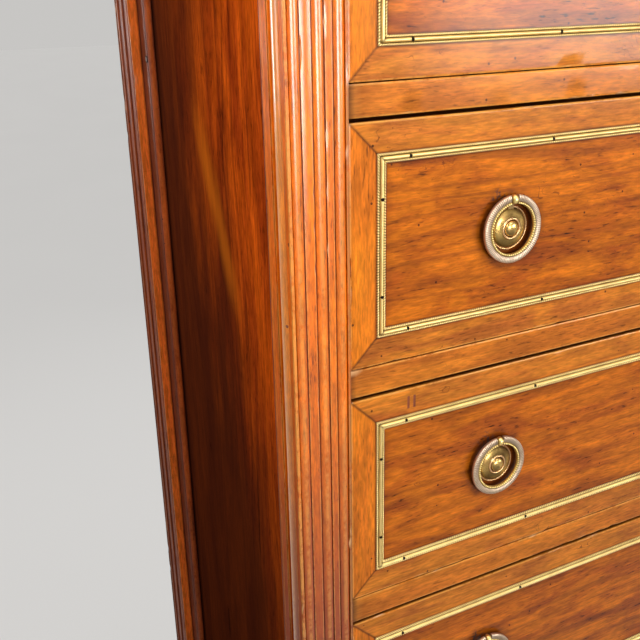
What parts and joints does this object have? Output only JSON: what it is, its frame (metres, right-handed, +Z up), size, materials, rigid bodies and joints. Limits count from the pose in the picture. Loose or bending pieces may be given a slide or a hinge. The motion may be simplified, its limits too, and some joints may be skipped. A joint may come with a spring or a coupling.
{
  "type": "semainier",
  "caption": "Tall narrow chest of equal drawers between reeded corner posts, with brass moulding frames and round ring pulls.",
  "frame": {"origin": "on the floor under the middle of the chest's outline", "axes": "+Z up, +X to the right seen from the front, +Y to the back; the drawers open along -Y"},
  "size_m": [0.581, 0.3496, 1.4009],
  "materials": {
    "case_walnut": "polished walnut, honey to red brown, vertical grain on the posts",
    "drawer_walnut": "polished walnut veneer with a mitred cross-banded border",
    "panel_walnut": "dark red brown polished walnut",
    "back_wood": "bare pale softwood",
    "moulding_brass": "aged gilt brass, beaded edges",
    "pull_brass": "aged brass, milled ring and turned plate"
  },
  "bodies": {
    "case": {"post_front_left": "case_walnut", "post_front_right": "case_walnut", "post_rear_left": "case_walnut", "post_rear_right": "case_walnut", "side_panel_left": "panel_walnut", "side_panel_right": "panel_walnut", "panel_bead_left": "panel_walnut", "panel_bead_right": "panel_walnut", "back_panel": "back_wood", "top_board": "case_walnut", "rail_1": "case_walnut", "rail_2": "case_walnut", "rail_3": "case_walnut", "rail_4": "case_walnut", "rail_5": "case_walnut", "rail_6": "case_walnut", "rail_7": "case_walnut", "rail_8": "case_walnut"},
    "drawer_1": {"drawer_1": "drawer_walnut", "moulding_1": "moulding_brass", "pull_plate_1_left": "pull_brass", "pull_plate_1_right": "pull_brass"},
    "pull_ring_1_left": {"pull_ring_1_left": "pull_brass"},
    "pull_ring_1_right": {"pull_ring_1_right": "pull_brass"},
    "drawer_2": {"drawer_2": "drawer_walnut", "moulding_2": "moulding_brass", "pull_plate_2_left": "pull_brass", "pull_plate_2_right": "pull_brass"},
    "pull_ring_2_left": {"pull_ring_2_left": "pull_brass"},
    "pull_ring_2_right": {"pull_ring_2_right": "pull_brass"},
    "drawer_3": {"drawer_3": "drawer_walnut", "moulding_3": "moulding_brass", "pull_plate_3_left": "pull_brass", "pull_plate_3_right": "pull_brass"},
    "pull_ring_3_left": {"pull_ring_3_left": "pull_brass"},
    "pull_ring_3_right": {"pull_ring_3_right": "pull_brass"},
    "drawer_4": {"drawer_4": "drawer_walnut", "moulding_4": "moulding_brass", "pull_plate_4_left": "pull_brass", "pull_plate_4_right": "pull_brass"},
    "pull_ring_4_left": {"pull_ring_4_left": "pull_brass"},
    "pull_ring_4_right": {"pull_ring_4_right": "pull_brass"},
    "drawer_5": {"drawer_5": "drawer_walnut", "moulding_5": "moulding_brass", "pull_plate_5_left": "pull_brass", "pull_plate_5_right": "pull_brass"},
    "pull_ring_5_left": {"pull_ring_5_left": "pull_brass"},
    "pull_ring_5_right": {"pull_ring_5_right": "pull_brass"},
    "drawer_6": {"drawer_6": "drawer_walnut", "moulding_6": "moulding_brass", "pull_plate_6_left": "pull_brass", "pull_plate_6_right": "pull_brass"},
    "pull_ring_6_left": {"pull_ring_6_left": "pull_brass"},
    "pull_ring_6_right": {"pull_ring_6_right": "pull_brass"},
    "drawer_7": {"drawer_7": "drawer_walnut", "moulding_7": "moulding_brass", "pull_plate_7_left": "pull_brass", "pull_plate_7_right": "pull_brass"},
    "pull_ring_7_left": {"pull_ring_7_left": "pull_brass"},
    "pull_ring_7_right": {"pull_ring_7_right": "pull_brass"}
  },
  "joints": [
    {"name": "drawer_1_slide", "type": "slide", "parent": "case", "child": "drawer_1", "axis": [0, -1, 0], "range_m": [0, 0.25]},
    {"name": "ring_1_left_swing", "type": "hinge", "parent": "drawer_1", "child": "pull_ring_1_left", "pos_m": [-0.1175, -0.1608, 1.2888], "axis": [-1, 0, 0], "range_deg": [0, 100]},
    {"name": "ring_1_right_swing", "type": "hinge", "parent": "drawer_1", "child": "pull_ring_1_right", "pos_m": [0.1175, -0.1608, 1.2888], "axis": [-1, 0, 0], "range_deg": [0, 100]},
    {"name": "drawer_2_slide", "type": "slide", "parent": "case", "child": "drawer_2", "axis": [0, -1, 0], "range_m": [0, 0.25]},
    {"name": "ring_2_left_swing", "type": "hinge", "parent": "drawer_2", "child": "pull_ring_2_left", "pos_m": [-0.1175, -0.1608, 1.115], "axis": [-1, 0, 0], "range_deg": [0, 100]},
    {"name": "ring_2_right_swing", "type": "hinge", "parent": "drawer_2", "child": "pull_ring_2_right", "pos_m": [0.1175, -0.1608, 1.115], "axis": [-1, 0, 0], "range_deg": [0, 100]},
    {"name": "drawer_3_slide", "type": "slide", "parent": "case", "child": "drawer_3", "axis": [0, -1, 0], "range_m": [0, 0.25]},
    {"name": "ring_3_left_swing", "type": "hinge", "parent": "drawer_3", "child": "pull_ring_3_left", "pos_m": [-0.1175, -0.1608, 0.9412], "axis": [-1, 0, 0], "range_deg": [0, 100]},
    {"name": "ring_3_right_swing", "type": "hinge", "parent": "drawer_3", "child": "pull_ring_3_right", "pos_m": [0.1175, -0.1608, 0.9412], "axis": [-1, 0, 0], "range_deg": [0, 100]},
    {"name": "drawer_4_slide", "type": "slide", "parent": "case", "child": "drawer_4", "axis": [0, -1, 0], "range_m": [0, 0.25]},
    {"name": "ring_4_left_swing", "type": "hinge", "parent": "drawer_4", "child": "pull_ring_4_left", "pos_m": [-0.1175, -0.1608, 0.7674], "axis": [-1, 0, 0], "range_deg": [0, 100]},
    {"name": "ring_4_right_swing", "type": "hinge", "parent": "drawer_4", "child": "pull_ring_4_right", "pos_m": [0.1175, -0.1608, 0.7674], "axis": [-1, 0, 0], "range_deg": [0, 100]},
    {"name": "drawer_5_slide", "type": "slide", "parent": "case", "child": "drawer_5", "axis": [0, -1, 0], "range_m": [0, 0.25]},
    {"name": "ring_5_left_swing", "type": "hinge", "parent": "drawer_5", "child": "pull_ring_5_left", "pos_m": [-0.1175, -0.1608, 0.5936], "axis": [-1, 0, 0], "range_deg": [0, 100]},
    {"name": "ring_5_right_swing", "type": "hinge", "parent": "drawer_5", "child": "pull_ring_5_right", "pos_m": [0.1175, -0.1608, 0.5936], "axis": [-1, 0, 0], "range_deg": [0, 100]},
    {"name": "drawer_6_slide", "type": "slide", "parent": "case", "child": "drawer_6", "axis": [0, -1, 0], "range_m": [0, 0.25]},
    {"name": "ring_6_left_swing", "type": "hinge", "parent": "drawer_6", "child": "pull_ring_6_left", "pos_m": [-0.1175, -0.1608, 0.4198], "axis": [-1, 0, 0], "range_deg": [0, 100]},
    {"name": "ring_6_right_swing", "type": "hinge", "parent": "drawer_6", "child": "pull_ring_6_right", "pos_m": [0.1175, -0.1608, 0.4198], "axis": [-1, 0, 0], "range_deg": [0, 100]},
    {"name": "drawer_7_slide", "type": "slide", "parent": "case", "child": "drawer_7", "axis": [0, -1, 0], "range_m": [0, 0.25]},
    {"name": "ring_7_left_swing", "type": "hinge", "parent": "drawer_7", "child": "pull_ring_7_left", "pos_m": [-0.1175, -0.1608, 0.246], "axis": [-1, 0, 0], "range_deg": [0, 100]},
    {"name": "ring_7_right_swing", "type": "hinge", "parent": "drawer_7", "child": "pull_ring_7_right", "pos_m": [0.1175, -0.1608, 0.246], "axis": [-1, 0, 0], "range_deg": [0, 100]}
  ]
}
